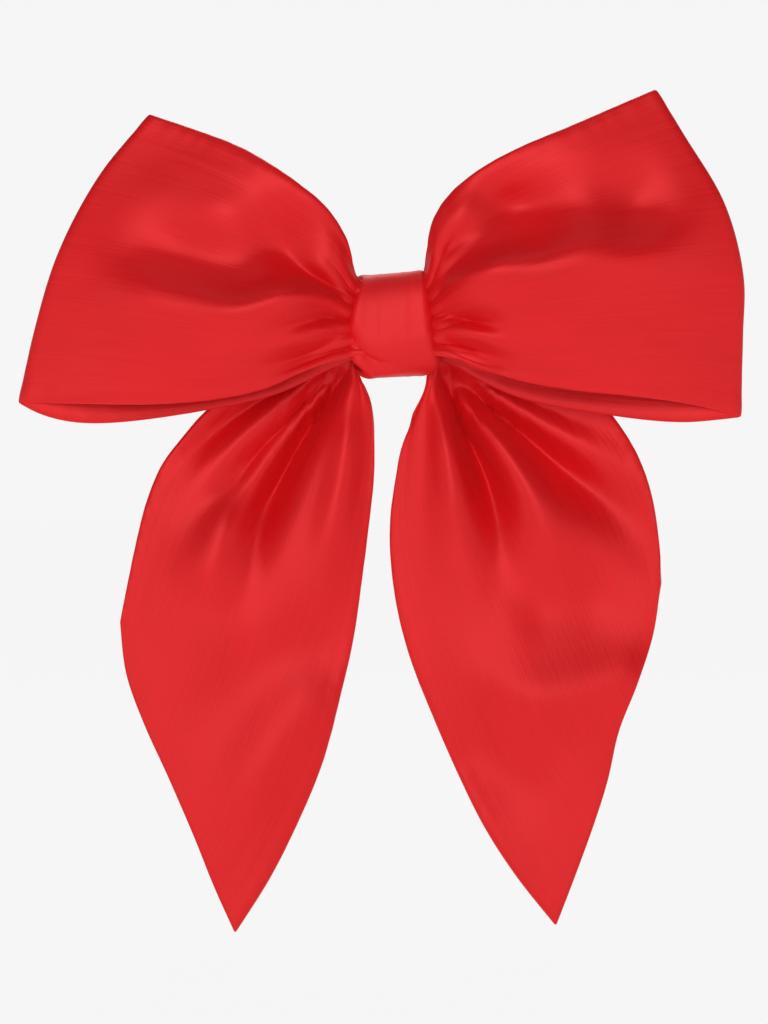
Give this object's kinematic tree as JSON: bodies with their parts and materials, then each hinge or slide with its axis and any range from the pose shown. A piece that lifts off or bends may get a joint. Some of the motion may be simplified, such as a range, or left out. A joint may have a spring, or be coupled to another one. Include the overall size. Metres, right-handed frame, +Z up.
{
  "type": "hair bow",
  "caption": "Satin hair bow with two puffed loops, long pointed tails and a centre wrap, glued to a sprung toothed alligator clip.",
  "frame": {"origin": "in the clip's grip, between the closed jaws, at the middle of the clip's length behind the knot", "axes": "+X across the bow towards the clip's handles, +Z up as the bow is worn with the tails hanging, the bow's front faces -Y and the head is at +Y"},
  "size_m": [0.1175, 0.032, 0.137],
  "materials": {
    "satin": "red satin, a smooth sheen on both faces",
    "thread": "matt sewing thread",
    "glue": "hardened hot glue",
    "plated_steel": "bright nickel plate",
    "spring_steel": "drawn wire"
  },
  "bodies": {
    "bow": {"loop_band": "satin", "tail_gathers": "satin", "knot_wrap": "satin", "gather_thread": "thread", "wrap_stitches": "thread", "glue_pad": "glue", "jaw_plate": "plated_steel", "hinge_pin": "plated_steel", "torsion_spring": "spring_steel"},
    "prong": {"jaw_prong": "plated_steel"},
    "left_tail": {"tail_left": "satin"},
    "right_tail": {"tail_right": "satin"}
  },
  "joints": [
    {"name": "jaw_hinge", "type": "hinge", "parent": "bow", "child": "prong", "pos_m": [0.02331, 0.0023, -0.00295], "axis": [-0.1253, 0, -0.9921], "range_deg": [0, 30], "stiffness_Nm_per_rad": 0.15, "springref_deg": -20.05, "deforming": ["torsion_spring"]},
    {"name": "left_tail_swing", "type": "hinge", "parent": "bow", "child": "left_tail", "pos_m": [-0.019, -0.00413, -0.0214], "axis": [-1, 0, 0], "range_deg": [-15, 45]},
    {"name": "right_tail_swing", "type": "hinge", "parent": "bow", "child": "right_tail", "pos_m": [0.02, -0.00413, -0.0214], "axis": [-1, 0, 0], "range_deg": [-15, 45]}
  ]
}
